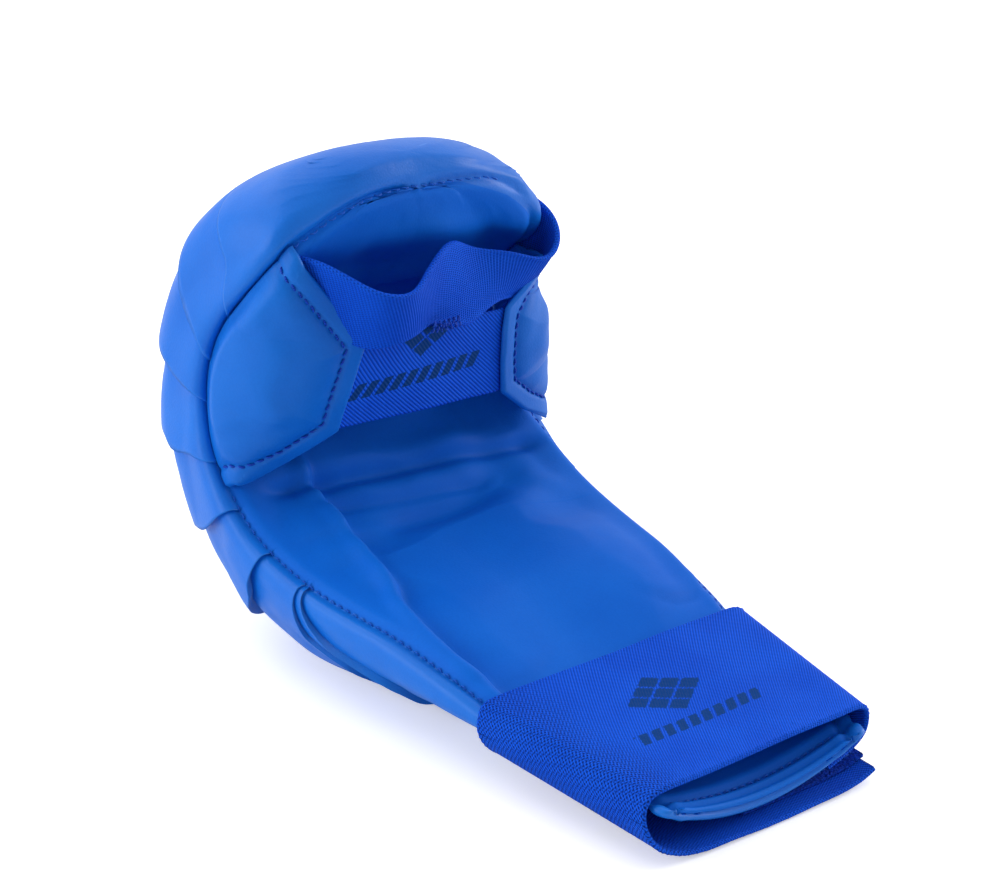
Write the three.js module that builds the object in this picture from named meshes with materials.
// Karate hand guard (padded mitt without a thumb), lying on the back of its pad, palm side up.
// Millimetres, +Z up, +X across the hand to the right, +Y from the wrist towards the knuckles.
// The origin is on the floor plane, below the middle of the guard's length and width.
import {
  BufferGeometry, Float32BufferAttribute, Group, Mesh, MeshStandardMaterial, Vector3,
} from 'three';
import { mergeVertices } from 'three/addons/utils/BufferGeometryUtils.js';

// ---------------------------------------------------------------- driving dimensions
const ORIGIN_Y = 110;          // the tables' y starts at the wrist edge, this far behind the origin
const SKIN = 1.2;              // synthetic leather with its backing
const GAP = 0.4;               // clearance between layers
const STRAP_THICK = 1.3;       // wrist elastic
const ELASTIC_THICK = 1.2;     // palm and finger elastics
const PATCH_THICK = 0.8;       // hook-and-loop tape without its pile
const THREAD_R = 0.35;         // topstitch cord
const PATCH_THREAD_R = 0.2;
const SEAM_LIFT = THREAD_R + 0.45; // seam thread centre above the face

// Pad: one column per knot along the curled mid line.
const PAD = {
  y: [0.5, 20, 40, 60.6, 80, 107, 141.1, 165.8, 182.8, 192.8, 194.7, 187.2, 172.3, 163.1],
  z: [7.5, 8.8, 10.8, 13, 15.6, 17.6, 22, 31.3, 46.3, 65.6, 86, 104.7, 121.7, 144.9],
  halfWidth: [39.5, 42.6, 45.6, 48.5, 52.2, 56.5, 60.4, 61.7, 61.2, 59.8, 57.9, 56.4, 55.8, 59.4],
  // thickness from the mid line to the back-of-hand face and to the palm face
  back: [2.2, 2.8, 4.9, 7.9, 12.6, 18.3, 23.3, 24.8, 25.6, 25.7, 25.9, 26.2, 26.2, 21.5],
  palm: [2.2, 3, 4.6, 6.5, 10.6, 15.4, 14.7, 13.2, 12.1, 11.5, 11.3, 11.2, 11, 10.7],
  // shift of the side edges towards the palm
  cup: [8.5, 7.4, 5.8, 4.4, 4.4, 4.4, 3.1, 2.4, 1.8, 1.7, 2, 2.3, 3.5, 3.2],
  // squareness of the palm face
  palmSquare: [2.6, 2.6, 2.6, 2.7, 2.8, 2.8, 3.2, 3.8, 4.4, 4.8, 4.8, 4.8, 4.8, 4.5],
};
const BACK_SQUARE = 3.3;       // squareness of the back-of-hand face
const TIP_CAP = 36.1;          // length of the rounded finger end
const TIP_ROUND = 2.1;         // roundness of the finger end in plan
const TIP_THINNING = 0.8;      // power by which thickness follows width in the finger end
const SEAM_INSET = 4.9;        // seam line, measured in from the widest line
const BACK_STEPS = 18;         // facets round the back-of-hand face
const PALM_STEPS = 8;          // facets round the palm face
const FOAM_START = 2;          // foam begins this far from the wrist edge
const WRIST_STITCH = { along: 6.5, inset: 9, steps: 8, extraLift: 0.15 };
const SEAM_THREAD_START = 70;

// Side tabs: "along" runs 0-1 along the seam, "across" 0-1 from the seam to the free edge.
const TAB_SEAM = [184.5, 281.5]; // stretch of the mid line that each tab is sewn beside
const TAB_LIFT = 2.4;          // clearance over the lining at the seam
const TAB_ALONG = [0, 0.12, 0.24, 0.36, 0.49, 0.62, 0.74, 0.83, 0.92, 1];
const TAB_ACROSS = [0, 0.15, 0.35, 0.55, 0.75, 0.9, 1];
const TAB_FOAM_COLUMNS = [1, 5]; // columns of TAB_ACROSS with foam, end excluded
const TAB_LAYERS = { backing: -1, foam: 0.3, coverInside: 0.65, coverOutside: 1.65 };
// foam crown: height, flat margin and ramp at the ends, flat limit and ramp at the free edge,
// ramp at the seam
const CROWN = {
  height: 4.6, endMargin: 0.05, endRamp: 0.24, freeLimit: 0.86, freeRamp: 0.34, seamRamp: 0.15,
};
const TAB_THREAD = {
  along: [0.11, 0.17, 0.24, 0.3, 0.36, 0.42, 0.49, 0.56, 0.62, 0.68, 0.74, 0.79, 0.83, 0.87, 0.91],
  edgeInset: 6.2, minTabWidth: 8, minAcross: 0.04, lift: THREAD_R + 0.5,
};
const tabOutward = (side) => new Vector3(side * 0.76, -0.62, 0.2).normalize();
// side: -1 left, 1 right; freeEdge: [along, x, y, z];
// elasticJoin: where the palm elastic lies under the tab, [across, depth]
const TABS = {
  left: {
    side: -1, outward: tabOutward(-1), bulge: 8, elasticJoin: [[0.86, 2.9], [0.985, 2.2]],
    freeEdge: [
      [0, -53, 167.6, 51.5], [0.18, -42.5, 162, 57.5], [0.36, -30.8, 153.5, 67.5],
      [0.5, -29.6, 151.8, 76], [0.62, -27.4, 150, 86], [0.74, -25.5, 148.4, 96],
      [0.87, -34.5, 152.8, 108.5], [1, -42.8, 155.6, 119.5],
    ],
  },
  right: {
    side: 1, outward: tabOutward(1), bulge: 12, elasticJoin: [[0.86, 3.9], [0.985, 2.4]],
    freeEdge: [
      [0, 54, 165, 51], [0.18, 44, 160, 56], [0.36, 30.6, 153.4, 67],
      [0.5, 29.4, 151.8, 76], [0.62, 27.3, 150, 86], [0.74, 25.5, 148.4, 96],
      [0.87, 40.5, 150.2, 106], [1, 47.6, 154.6, 119.5],
    ],
  },
};

// Palm elastic: places along the tabs, and how far its middle shifts towards the wrist.
const PALM_ELASTIC_ALONG = [0.38, 0.47, 0.55, 0.63, 0.715];
const PALM_ELASTIC_SAG = 0.6;
// Finger elastic: [x, y, z] along its lower and upper edges, left to right.
const FINGER_LOWER = [
  [-31.5, 156.2, 99.5], [-25.6, 150.9, 98.6], [-20, 147.5, 97.6], [-12, 146.2, 97.2],
  [-3, 146, 97.2], [5, 146, 97.2], [14, 146.3, 97.4], [20.5, 147.9, 98.2],
  [26.2, 150.9, 98.6], [32, 156, 100.5],
];
const FINGER_UPPER = [
  [-38.5, 162, 116], [-38.2, 157.9, 116.4], [-35, 149.5, 118.2], [-29, 138, 116],
  [-17, 136.5, 114.5], [2, 148, 117], [17, 158.5, 114.5], [30, 160.5, 110.5],
  [42, 158.4, 114.5], [42.5, 162.5, 115],
];
const TACK = { width: 10, y: 144.1, bottom: 95.2, top: 99.2, strokes: 6, radius: 0.45 };

// Wrist strap, outer face: [wrist-side edge point, knuckle-side edge point] round the wrist.
const ANCHOR = [
  [[26, 3, 7.2], [28, 60, 4.4]], [[33, 3.4, 9.2], [36, 60.5, 5.9]],
  [[38.8, 4, 11.4], [45, 61.5, 8.6]], [[42.2, 5, 14], [50.8, 62.5, 12.4]],
  [[42.6, 5.8, 17.6], [52.3, 64, 17.6]], [[41, 6, 19.6], [50, 65.2, 22]],
  [[38.6, 6, 20.3], [47.4, 65.5, 23.6]],
];
const SPAN = [
  [[37.4, 6, 20.4], [46.2, 65.5, 23.9]], [[20, 6, 20.8], [24, 65.5, 24.3]],
  [[0, 6, 21], [0, 65.5, 24.4]], [[-20, 6, 20.8], [-24, 65.5, 24.3]],
  [[-38.2, 6, 20.3], [-47.2, 65.5, 23.7]],
];
const SIDE = [
  [[-41.2, 5.4, 18.4], [-50.6, 64.8, 21.4]], [[-42.6, 3.8, 13.5], [-52.4, 63.4, 15.2]],
  [[-41.2, 2.2, 8.8], [-50.8, 61.8, 8.6]],
];
const FLAP = [
  [[-39.4, 1.4, 6.3], [-48.6, 60.9, 5.6]], [[-34, 0.6, 2.9], [-42.5, 60.1, 2]],
  [[-28, 0, 0.9], [-35, 59.4, 0.4]], [[-20, -0.5, 0], [-26, 59, 0]],
  [[0, -0.8, 0], [0, 58.7, 0]], [[25, -0.8, 0], [25, 58.7, 0]],
  [[38, -0.3, 1.2], [38, 59, 0.8]], [[46, 0.3, 3.5], [46, 59.4, 2.6]],
];
// Box stitch on the anchor's first length: [fraction along it, fraction across it].
const ANCHOR_STITCH = [
  [0.3, 0.5], [0.3, 0.08], [0.6, 0.08], [0.9, 0.08], [0.9, 0.35],
  [0.9, 0.65], [0.9, 0.92], [0.6, 0.92], [0.3, 0.92], [0.3, 0.56],
];
const ANCHOR_THREAD_R = 0.25;

// Hook patch on the inside of the strap's free end, loop patch on the back of the pad:
// grid lines, clearance over the face below, thread inset from the edges, thread clearance.
const HOOK = {
  x: [-4, 10, 25, 31, 38, 44.5], y: [6.5, 53.5],
  clearance: 0.35, insetX: 2.5, insetY: 2, threadClearance: 0.25,
};
const LOOP = {
  x: [-24, -16, -8, 0, 8, 15, 22], y: [8, 16, 25, 34, 43, 51],
  clearance: 0.45, inset: 2.5, threadClearance: 0.3,
};

// ---------------------------------------------------------------- materials
const matte = (color, roughness) => new MeshStandardMaterial({ color, roughness });
const LEATHER = matte(0x1f62c4, 0.42);
const LINING = matte(0x1b58bd, 0.5);
const ELASTIC = matte(0x1641c8, 0.85);
const THREAD = matte(0x1230a8, 0.7);
const FOAM = matte(0xd8d8d2, 0.9);
const TAPE = matte(0x1636a8, 0.95);

// ---------------------------------------------------------------- curves
const radians = (degrees) => degrees * Math.PI / 180;
const fromWrist = (x, y, z) => new Vector3(x, y - ORIGIN_Y, z);

// index of the interval that holds a value
function intervalOf(stations, value) {
  let i = 0;
  while (i < stations.length - 2 && value > stations[i + 1]) i++;
  return i;
}

// monotone cubic through the knots
function monotoneCurve(stations, values) {
  const count = stations.length;
  const steps = [];
  const chords = [];
  for (let i = 0; i < count - 1; i++) {
    steps[i] = stations[i + 1] - stations[i];
    chords[i] = (values[i + 1] - values[i]) / steps[i];
  }
  const slopes = new Array(count).fill(0);
  for (let i = 1; i < count - 1; i++) {
    if (chords[i - 1] * chords[i] > 0) {
      const before = 2 * steps[i] + steps[i - 1];
      const after = steps[i] + 2 * steps[i - 1];
      slopes[i] = (before + after) / (before / chords[i - 1] + after / chords[i]);
    }
  }
  slopes[0] = chords[0];
  slopes[count - 1] = chords[count - 2];
  return (station) => {
    const i = intervalOf(stations, station);
    const part = Math.min(Math.max((station - stations[i]) / steps[i], -0.2), 1.2);
    const square = part * part;
    const cube = square * part;
    return (2 * cube - 3 * square + 1) * values[i]
      + (cube - 2 * square + part) * steps[i] * slopes[i]
      + (-2 * cube + 3 * square) * values[i + 1]
      + (cube - square) * steps[i] * slopes[i + 1];
  };
}

// natural cubic spline, returning [value, slope]
function naturalSpline(stations, values) {
  const count = stations.length;
  const diagonal = new Array(count).fill(1);
  const upper = new Array(count).fill(0);
  const load = new Array(count).fill(0);
  for (let i = 1; i < count - 1; i++) {
    const before = stations[i] - stations[i - 1];
    const after = stations[i + 1] - stations[i];
    const factor = before / diagonal[i - 1];
    const bend = (values[i + 1] - values[i]) / after - (values[i] - values[i - 1]) / before;
    upper[i] = after;
    diagonal[i] = 2 * (before + after) - factor * upper[i - 1];
    load[i] = 6 * bend - factor * load[i - 1];
  }
  const second = new Array(count).fill(0);   // second derivatives
  for (let i = count - 2; i > 0; i--) second[i] = (load[i] - upper[i] * second[i + 1]) / diagonal[i];
  return (station) => {
    const i = intervalOf(stations, station);
    const step = stations[i + 1] - stations[i];
    const near = (stations[i + 1] - station) / step;
    const far = (station - stations[i]) / step;
    const bend = (near ** 3 - near) * second[i] + (far ** 3 - far) * second[i + 1];
    const turn = -(3 * near * near - 1) * second[i] + (3 * far * far - 1) * second[i + 1];
    return [
      near * values[i] + far * values[i + 1] + bend * step * step / 6,
      (values[i + 1] - values[i]) / step + turn * step / 6,
    ];
  };
}

// ---------------------------------------------------------------- pad surface
const KNOTS = [0];             // chord length along the mid line at each knot
for (let i = 1; i < PAD.y.length; i++) {
  KNOTS.push(KNOTS[i - 1] + Math.hypot(PAD.y[i] - PAD.y[i - 1], PAD.z[i] - PAD.z[i - 1]));
}
const LENGTH = KNOTS[KNOTS.length - 1];
const TIP_START = LENGTH - TIP_CAP;
const SEAM_TIP = LENGTH - SEAM_INSET;
const midY = naturalSpline(KNOTS, PAD.y);
const midZ = naturalSpline(KNOTS, PAD.z);
const halfWidthAt = monotoneCurve(KNOTS, PAD.halfWidth);
const backAt = monotoneCurve(KNOTS, PAD.back);
const palmAt = monotoneCurve(KNOTS, PAD.palm);
const cupAt = monotoneCurve(KNOTS, PAD.cup);
const palmSquareAt = monotoneCurve(KNOTS, PAD.palmSquare);

// point of the mid line, and the unit direction from it to the back of the hand
function midLine(along) {
  const [y, slopeY] = midY(along);
  const [z, slopeZ] = midZ(along);
  const size = Math.hypot(slopeY, slopeZ);
  return { y, z, backY: slopeZ / size, backZ: -slopeY / size };
}
// share of the full width left at a fraction of the finger end
const tipWidth = (part) => (1 - part ** TIP_ROUND) ** (1 / TIP_ROUND);
const signedPower = (value, power) => (
  Math.abs(value) < 1e-9 ? 0 : Math.sign(value) * Math.abs(value) ** power
);

// point of the pad: distance along the mid line, angle round the section in degrees
// (0 right edge, 90 back of hand, 180 left edge, 270 palm side), depth inside the outer face
function padPoint(along, angle, depth) {
  const narrowing = tipWidth(Math.min(Math.max((along - TIP_START) / TIP_CAP, 0), 1));
  const inset = along > TIP_START
    ? TIP_START + (along - TIP_START) * (TIP_CAP - depth) / TIP_CAP : along;
  const { y, z, backY, backZ } = midLine(inset);
  const cosine = Math.cos(radians(angle));
  const sine = Math.sin(radians(angle));
  const onBack = sine >= 0;
  const power = 2 / (onBack ? BACK_SQUARE : palmSquareAt(along));
  const thickness = ((onBack ? backAt(along) : palmAt(along)) - depth) * narrowing ** TIP_THINNING;
  const halfWidth = halfWidthAt(along);
  const x = (halfWidth - depth) * narrowing * signedPower(cosine, power);
  const height = thickness * signedPower(sine, power) - cupAt(along) * (x / halfWidth) ** 2;
  return fromWrist(x, y + backY * height, Math.max(z + backZ * height, depth));
}

// degrees from the widest line to the seam line, on the palm side
function seamAngle(along, inset = SEAM_INSET) {
  const insetPart = Math.max((along - TIP_START) / (TIP_CAP - inset), 0);
  if (insetPart >= 1 - 1e-9) return 90;
  const halfWidth = halfWidthAt(along);
  const seamX = (halfWidth - inset) * tipWidth(insetPart);
  const edgeX = halfWidth * tipWidth(Math.max((along - TIP_START) / TIP_CAP, 0));
  return Math.acos(Math.min(seamX / edgeX, 1) ** (palmSquareAt(along) / 2)) * 180 / Math.PI;
}
function seamPoint(along, side, depth) {
  const angle = seamAngle(along);
  return padPoint(along, side < 0 ? 180 + angle : -angle, depth);
}

// ---------------------------------------------------------------- solids
// Welds the corners, drops flat triangles, cancels facing pairs and faces the rest outward.
function solidFrom(triangles) {
  const ids = new Map();
  const positions = [];
  const faces = new Map();
  const idOf = (point) => {
    const key = point.toArray().map((value) => Math.round(value * 2000)).join(',');
    if (!ids.has(key)) {
      ids.set(key, positions.length / 3);
      positions.push(point.x, point.y, point.z);
    }
    return ids.get(key);
  };
  for (const triangle of triangles) {
    const face = triangle.map(idOf);
    if (new Set(face).size < 3) continue;
    const key = [...face].sort((m, n) => m - n).join(',');
    if (faces.has(key)) faces.delete(key);
    else faces.set(key, face);
  }
  let volume = 0;
  for (const face of faces.values()) {
    const [first, second, third] = face.map((id) => new Vector3().fromArray(positions, id * 3));
    volume += first.dot(second.cross(third));
  }
  const geometry = new BufferGeometry();
  geometry.setAttribute('position', new Float32BufferAttribute(positions, 3));
  geometry.setIndex([...faces.values()].flatMap(([i, j, k]) => (volume < 0 ? [i, k, j] : [i, j, k])));
  return mergeVertices(geometry, 1e-5);
}

// solid between two grids of points with the same layout
function slab(top, base) {
  const rowEnd = top.length - 1;
  const columnEnd = top[0].length - 1;
  const triangles = [];
  const quad = (p0, p1, p2, p3) => triangles.push([p0, p1, p2], [p0, p2, p3]);
  for (let i = 0; i < rowEnd; i++) {
    for (let j = 0; j < columnEnd; j++) {
      quad(top[i][j], top[i + 1][j], top[i + 1][j + 1], top[i][j + 1]);
      quad(base[i][j], base[i][j + 1], base[i + 1][j + 1], base[i + 1][j]);
    }
  }
  for (let i = 0; i < rowEnd; i++) {
    const k = columnEnd;
    quad(top[i][0], base[i][0], base[i + 1][0], top[i + 1][0]);
    quad(top[i][k], top[i + 1][k], base[i + 1][k], base[i][k]);
  }
  for (let j = 0; j < columnEnd; j++) {
    const k = rowEnd;
    quad(top[0][j], top[0][j + 1], base[0][j + 1], base[0][j]);
    quad(top[k][j], base[k][j], base[k][j + 1], top[k][j + 1]);
  }
  return solidFrom(triangles);
}

// thread: a round bar along a line of points
function cord(points, radius = THREAD_R, sides = 5) {
  const last = points.length - 1;
  const up = new Vector3(0.31, 0.17, 0.93);  // carried along so that the rings don't twist
  const rings = points.map((point, i) => {
    const ahead = new Vector3()
      .subVectors(points[Math.min(i + 1, last)], points[Math.max(i - 1, 0)]).normalize();
    const across = new Vector3().crossVectors(ahead, up).normalize();
    up.crossVectors(across, ahead).normalize();
    return Array.from({ length: sides }, (_, k) => {
      const angle = k * 2 * Math.PI / sides;
      return point.clone()
        .addScaledVector(across, radius * Math.cos(angle))
        .addScaledVector(up, radius * Math.sin(angle));
    });
  });
  const triangles = [];
  for (let i = 0; i < last; i++) {
    for (let k = 0; k < sides; k++) {
      const next = (k + 1) % sides;
      triangles.push([rings[i][k], rings[i][next], rings[i + 1][next]]);
      triangles.push([rings[i][k], rings[i + 1][next], rings[i + 1][k]]);
    }
  }
  for (let k = 1; k < sides - 1; k++) {
    triangles.push([rings[0][0], rings[0][k + 1], rings[0][k]]);
    triangles.push([rings[last][0], rings[last][k], rings[last][k + 1]]);
  }
  return solidFrom(triangles);
}

// grid of points, one row per entry of "rows"
const gridOf = (rows, columns, point) => rows.map((row) => columns.map((col) => point(row, col)));

function gridNormals(grid) {
  const rowEnd = grid.length - 1;
  const columnEnd = grid[0].length - 1;
  return grid.map((row, i) => row.map((_, j) => {
    const down = new Vector3()
      .subVectors(grid[Math.min(i + 1, rowEnd)][j], grid[Math.max(i - 1, 0)][j]);
    const across = new Vector3()
      .subVectors(row[Math.min(j + 1, columnEnd)], row[Math.max(j - 1, 0)]);
    return down.cross(across).normalize();
  }));
}
const offsetGrid = (grid, normals, heightAt) => grid.map((row, i) => (
  row.map((point, j) => point.clone().addScaledVector(normals[i][j], heightAt(i, j)))
));
// sheet between two offsets of a grid of points
function sheet(grid, topOffset, baseOffset) {
  const normals = gridNormals(grid);
  return slab(
    offsetGrid(grid, normals, () => topOffset),
    offsetGrid(grid, normals, () => baseOffset),
  );
}

const group = new Group();
function piece(name, material, geometry) {
  const mesh = new Mesh(geometry, material);
  mesh.name = name;
  group.add(mesh);
}

// ---------------------------------------------------------------- pad: shell, lining, foam core
const tipRow = (degrees) => TIP_START + TIP_CAP * Math.sin(radians(degrees));
const BODY_ROWS = [
  ...Array.from({ length: 21 }, (_, i) => TIP_START * i / 20),
  ...[13, 26, 38, 49].map(tipRow),
];
const BACK_ROWS = [...BODY_ROWS, SEAM_TIP, ...[69, 80, 90].map(tipRow)];
const PALM_ROWS = [...BODY_ROWS, SEAM_TIP - GAP];
const counting = (count) => [...Array(count).keys()];

// step j round the back-of-hand face from the right seam to the left one
function backPoint(along, j, depth) {
  const seam = seamAngle(along);
  return padPoint(along, -seam + (180 + 2 * seam) * j / BACK_STEPS, depth);
}
// step j round the palm face from the left seam to the right one
function palmPoint(along, j, depth, inset, steps = PALM_STEPS) {
  const seam = seamAngle(along, inset);
  return padPoint(along, 180 + seam + (180 - 2 * seam) * j / steps, depth);
}

function outerShell() {
  const face = (depth) => (
    gridOf(BACK_ROWS, counting(BACK_STEPS + 1), (along, j) => backPoint(along, j, depth))
  );
  return slab(face(0), face(SKIN));
}
function innerLining() {
  const face = (depth) => gridOf(PALM_ROWS, counting(PALM_STEPS + 1), (along, j) => (
    palmPoint(along, j, depth, SEAM_INSET + GAP)
  ));
  return slab(face(0), face(SKIN));
}
function foamCore() {
  const depth = SKIN + GAP;
  const rings = BACK_ROWS.map((row, i) => {
    const along = i ? row : FOAM_START;
    return [
      ...counting(BACK_STEPS).map((j) => backPoint(along, j, depth)),
      ...counting(PALM_STEPS).map((j) => palmPoint(along, j, depth, SEAM_INSET)),
    ];
  });
  const count = BACK_STEPS + PALM_STEPS;
  const triangles = [];
  for (let i = 0; i < rings.length - 1; i++) {
    for (let k = 0; k < count; k++) {
      const next = (k + 1) % count;
      triangles.push([rings[i][k], rings[i + 1][k], rings[i + 1][next]]);
      triangles.push([rings[i][k], rings[i + 1][next], rings[i][next]]);
    }
  }
  // fan that closes the wrist end
  const [start] = rings;
  const middle = start.reduce((sum, point) => sum.add(point), new Vector3())
    .multiplyScalar(1 / count);
  // the sum starts from its own vector, so the ring's points stay as they are
  for (let k = 0; k < count; k++) triangles.push([middle, start[k], start[(k + 1) % count]]);
  return solidFrom(triangles);
}

// seam threads, proud of the seam between shell and lining
const seamRows = (from, to) => [
  from, ...BACK_ROWS.filter((along) => along > from + 2 && along < to - 2), to,
];
const seamLine = (rows, side) => rows.map((along) => seamPoint(along, side, -SEAM_LIFT));
const sideSeamThread = (side) => (
  cord(seamLine(seamRows(SEAM_THREAD_START, TAB_SEAM[0] - 3), side))
);
function tipSeamThread() {
  const rows = seamRows(TAB_SEAM[1] + 4, SEAM_TIP);
  return cord([...seamLine(rows, -1), ...seamLine(rows.slice(0, -1).reverse(), 1)]);
}
function wristEdgeThread() {
  const { along, inset, steps, extraLift } = WRIST_STITCH;
  const depth = -SEAM_LIFT - extraLift;
  return cord(counting(steps + 1).map((j) => palmPoint(along, j, depth, inset, steps)));
}

piece('outer_shell', LEATHER, outerShell());
piece('inner_lining', LINING, innerLining());
piece('foam_core', FOAM, foamCore());
piece('seam_thread_left', THREAD, sideSeamThread(-1));
piece('seam_thread_right', THREAD, sideSeamThread(1));
piece('seam_thread_tip', THREAD, tipSeamThread());
piece('wrist_edge_thread', THREAD, wristEdgeThread());

// ---------------------------------------------------------------- side tabs
function freeEdgePoint(table, along) {
  const i = intervalOf(table.map(([station]) => station), along);
  const [start, ...from] = table[i];
  const [end, ...to] = table[i + 1];
  return fromWrist(...from).lerp(fromWrist(...to), (along - start) / (end - start));
}
function tabPoint(tab, along, across) {
  const padAlong = TAB_SEAM[0] + (TAB_SEAM[1] - TAB_SEAM[0]) * along;
  const { backY, backZ } = midLine(padAlong);
  const bulge = tab.bulge * Math.sin(Math.PI * across) ** 0.9 * Math.sin(Math.PI * along) ** 0.6;
  return seamPoint(padAlong, tab.side, 0)
    .addScaledVector(new Vector3(0, backY, backZ), -TAB_LIFT)
    .lerp(freeEdgePoint(tab.freeEdge, along), across)
    .addScaledVector(tab.outward, bulge);
}
function smoothStep(value) {
  const part = Math.min(Math.max(value, 0), 1);
  return part * part * (3 - 2 * part);
}
function crownHeight(along, across) {
  const { height, endMargin, endRamp, freeLimit, freeRamp, seamRamp } = CROWN;
  const ends = smoothStep(Math.min(along - endMargin, 1 - endMargin - along) / endRamp);
  const free = smoothStep((freeLimit - across) / freeRamp);
  const seam = across < seamRamp ? 0.5 + 0.5 * across / seamRamp : 1;
  return height * ends * free * seam;
}

// row of stitches on the faceted cover, at a fixed distance from the free edge
function tabThread(tab, threadGrid) {
  const onCover = (along, across) => {
    const i = intervalOf(TAB_ALONG, along);
    const j = intervalOf(TAB_ACROSS, across);
    const partAlong = (along - TAB_ALONG[i]) / (TAB_ALONG[i + 1] - TAB_ALONG[i]);
    const partAcross = (across - TAB_ACROSS[j]) / (TAB_ACROSS[j + 1] - TAB_ACROSS[j]);
    const [near, far] = [threadGrid[i], threadGrid[i + 1]].map((row) => (
      row[j].clone().lerp(row[j + 1], partAcross)
    ));
    return near.lerp(far, partAlong);
  };
  return cord(TAB_THREAD.along.map((along) => {
    const width = tabPoint(tab, along, 0).distanceTo(tabPoint(tab, along, 1));
    const across = 1 - TAB_THREAD.edgeInset / Math.max(width, TAB_THREAD.minTabWidth);
    return onCover(along, Math.max(across, TAB_THREAD.minAcross));
  }));
}

for (const [key, tab] of Object.entries(TABS)) {
  const grid = gridOf(TAB_ALONG, TAB_ACROSS, (along, across) => tabPoint(tab, along, across));
  const normals = gridNormals(grid).map((row) => (
    row.map((normal) => (normal.dot(tab.outward) < 0 ? normal.negate() : normal))
  ));
  const flat = (height) => offsetGrid(grid, normals, () => height);
  const crowned = (height) => offsetGrid(grid, normals, (i, j) => (
    height + crownHeight(TAB_ALONG[i], TAB_ACROSS[j])
  ));
  const foamPart = (layer) => layer.slice(1, -1).map((row) => row.slice(...TAB_FOAM_COLUMNS));
  const { backing, foam, coverInside, coverOutside } = TAB_LAYERS;
  piece(`${key}_tab_cover`, LEATHER, slab(crowned(coverOutside), crowned(coverInside)));
  piece(`${key}_tab_backing`, LINING, slab(flat(0), flat(backing)));
  piece(`${key}_tab_foam`, FOAM, slab(foamPart(crowned(foam)), foamPart(flat(foam))));
  const threadGrid = crowned(coverOutside + TAB_THREAD.lift);
  piece(`${key}_tab_thread`, THREAD, tabThread(tab, threadGrid));
}

// ---------------------------------------------------------------- palm and finger elastics
const elasticSheet = (grid) => sheet(grid, ELASTIC_THICK / 2, -ELASTIC_THICK / 2);

function palmElastic() {
  const under = (tab, along) => tab.elasticJoin.map(([across, depth]) => (
    tabPoint(tab, along, across).addScaledVector(tab.outward, -depth)
  ));
  return elasticSheet(PALM_ELASTIC_ALONG.map((along) => {
    const [leftEnd, left] = under(TABS.left, along);
    const [rightEnd, right] = under(TABS.right, along);
    const middle = left.clone().lerp(right, 0.5);
    middle.y -= PALM_ELASTIC_SAG;
    const toMiddle = (point, part) => point.clone().lerp(middle, part);
    return [
      leftEnd, left, toMiddle(left, 0.35), toMiddle(left, 0.7), middle,
      toMiddle(right, 0.7), toMiddle(right, 0.35), right, rightEnd,
    ];
  }));
}
const fingerElastic = () => elasticSheet(FINGER_LOWER.map((lower, i) => (
  [0, 0.33, 0.67, 1].map((part) => fromWrist(...lower).lerp(fromWrist(...FINGER_UPPER[i]), part))
)));
function elasticTack() {                     // zigzag stitch
  const { width, y, bottom, top, strokes, radius } = TACK;
  const zigzag = counting(strokes + 1).map((k) => (
    fromWrist(-width / 2 + width * k / strokes, y, k % 2 ? top : bottom)
  ));
  return cord(zigzag, radius);
}

piece('palm_elastic', ELASTIC, palmElastic());
piece('finger_elastic', ELASTIC, fingerElastic());
piece('elastic_tack', THREAD, elasticTack());

// ---------------------------------------------------------------- wrist strap
const UP = new Vector3(0, 0, 1);
const DOWN = new Vector3(0, 0, -1);
const RIGHT = new Vector3(1, 0, 0);
const strapGrid = (path) => path.map((edges) => edges.map((point) => fromWrist(...point)));
// 1 or -1: which way along the grid normals the inside of the strap lies
const insideSign = (grid, row, inside) => Math.sign(gridNormals(grid)[row][0].dot(inside));

// "inside" is the way the strap's inner face looks at the given row
function strap(path, row, inside) {
  const grid = strapGrid(path);
  return sheet(grid, 0, insideSign(grid, row, inside) * STRAP_THICK);
}
piece('strap_anchor', ELASTIC, strap(ANCHOR, 0, UP));
piece('strap_span', ELASTIC, strap(SPAN, 2, DOWN));
piece('strap_side', ELASTIC, strap(SIDE, 2, RIGHT));
piece('strap_flap', ELASTIC, strap(FLAP, 3, UP));

// ---------------------------------------------------------------- hook and loop patches
// point above the inner face of the flap, which is taken as level across the strap
function flapPoint(x, y, height) {
  const i = intervalOf(FLAP.map(([wristEdge]) => wristEdge[0]), x);
  const edgeHeights = [0, 1].map((edge) => {
    const [startX, , startZ] = FLAP[i][edge];
    const [endX, , endZ] = FLAP[i + 1][edge];
    return startZ + (endZ - startZ) * (x - startX) / (endX - startX);
  });
  return fromWrist(x, y, Math.max(...edgeHeights) + STRAP_THICK + height);
}
function hookPatch() {
  const face = (height) => gridOf(HOOK.x, HOOK.y, (x, y) => flapPoint(x, y, height));
  return slab(face(HOOK.clearance + PATCH_THICK), face(HOOK.clearance));
}
function hookPatchThread() {
  const height = HOOK.clearance + PATCH_THICK + HOOK.threadClearance + PATCH_THREAD_R;
  const inner = HOOK.x.slice(1, -1);
  const left = HOOK.x[0] + HOOK.insetX;
  const right = HOOK.x.at(-1) - HOOK.insetX;
  const low = HOOK.y[0] + HOOK.insetY;
  const high = HOOK.y[1] - HOOK.insetY;
  const middle = (low + high) / 2;
  const path = [
    [inner[0], high], [left, high], [left, middle], [left, low],
    ...inner.map((x) => [x, low]),
    [right, low], [right, middle], [right, high],
    ...inner.slice(1).reverse().map((x) => [x, high]), [13, high],
  ];
  return cord(path.map(([x, y]) => flapPoint(x, y, height)), PATCH_THREAD_R, 4);
}

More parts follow.
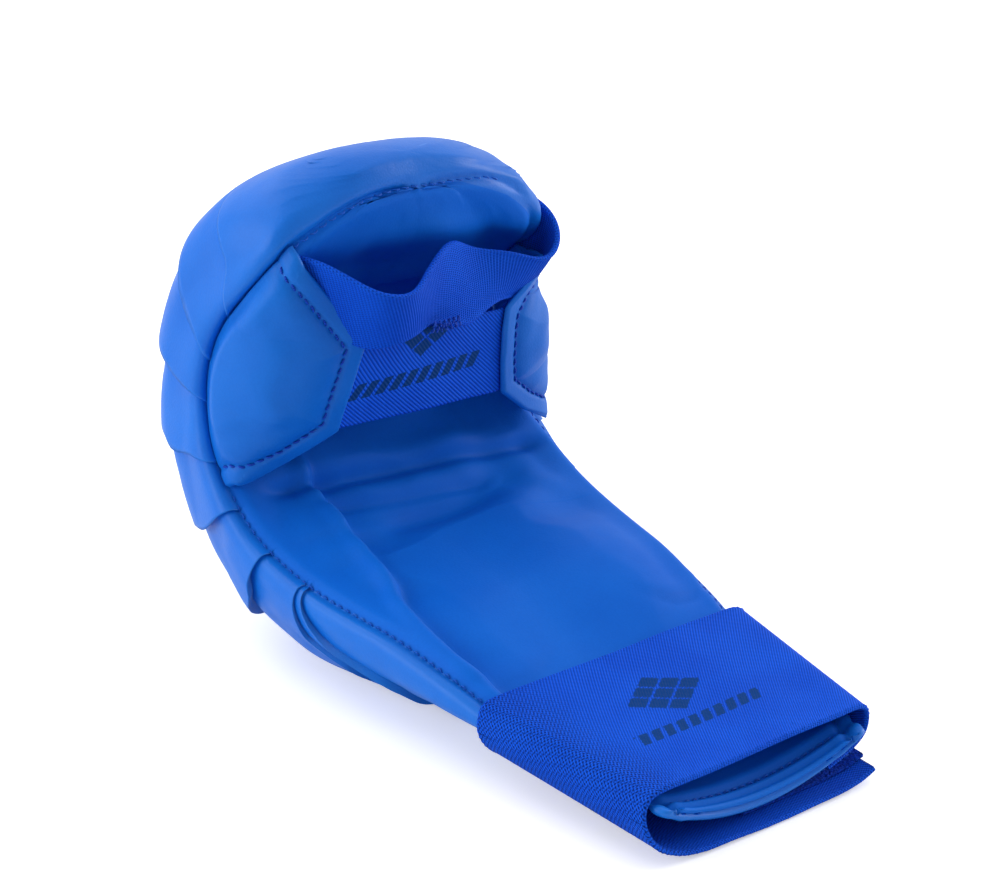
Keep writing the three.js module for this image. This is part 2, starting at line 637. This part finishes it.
// point over the back-of-hand face; the place along the mid line is found step by step
function overBack(x, y, height) {
  const pointAt = (along) => {
    const part = Math.min(Math.abs(x) / (halfWidthAt(along) + height), 1);
    const angle = Math.acos(Math.sign(x) * part ** (BACK_SQUARE / 2)) * 180 / Math.PI;
    return padPoint(along, angle, -height);
  };
  let along = y;
  for (let k = 0; k < 6; k++) along += (y - ORIGIN_Y) - pointAt(along).y;
  return pointAt(along);
}
function loopPatch() {
  const face = (height) => gridOf(LOOP.x, LOOP.y, (x, y) => overBack(x, y, height));
  return slab(face(LOOP.clearance), face(LOOP.clearance + PATCH_THICK));
}
function loopPatchThread() {
  const height = LOOP.clearance + PATCH_THICK + LOOP.threadClearance + PATCH_THREAD_R;
  const left = LOOP.x[0] + LOOP.inset;
  const right = LOOP.x.at(-1) - LOOP.inset;
  const low = LOOP.y[0] + LOOP.inset;
  const high = LOOP.y.at(-1) - LOOP.inset;
  const innerY = LOOP.y.slice(1, -1);
  const path = [
    ...[0, -8, -16, left].map((x) => [x, low]),
    ...[...innerY, high].map((y) => [left, y]),
    ...[...LOOP.x.slice(1, -1), right].map((x) => [x, high]),
    ...[...innerY.reverse(), low].map((y) => [right, y]),
    ...[15, 8, 3].map((x) => [x, low]),
  ];
  return cord(path.map(([x, y]) => overBack(x, y, height)), PATCH_THREAD_R, 4);
}

// box stitch that holds the strap's fixed end, on its outer face
function anchorThread() {
  const grid = strapGrid(ANCHOR);
  const outward = -insideSign(grid, 0, UP) * (ANCHOR_THREAD_R + GAP);
  const [normal] = gridNormals(grid)[0];
  const points = ANCHOR_STITCH.map(([along, across]) => {
    const [start, end] = [grid[0], grid[1]].map((row) => row[0].clone().lerp(row[1], across));
    return start.lerp(end, along).addScaledVector(normal, outward);
  });
  return cord(points, ANCHOR_THREAD_R, 4);
}

piece('hook_patch', TAPE, hookPatch());
piece('hook_patch_thread', THREAD, hookPatchThread());
piece('loop_patch', TAPE, loopPatch());
piece('loop_patch_thread', THREAD, loopPatchThread());
piece('strap_anchor_thread', THREAD, anchorThread());

export default group;
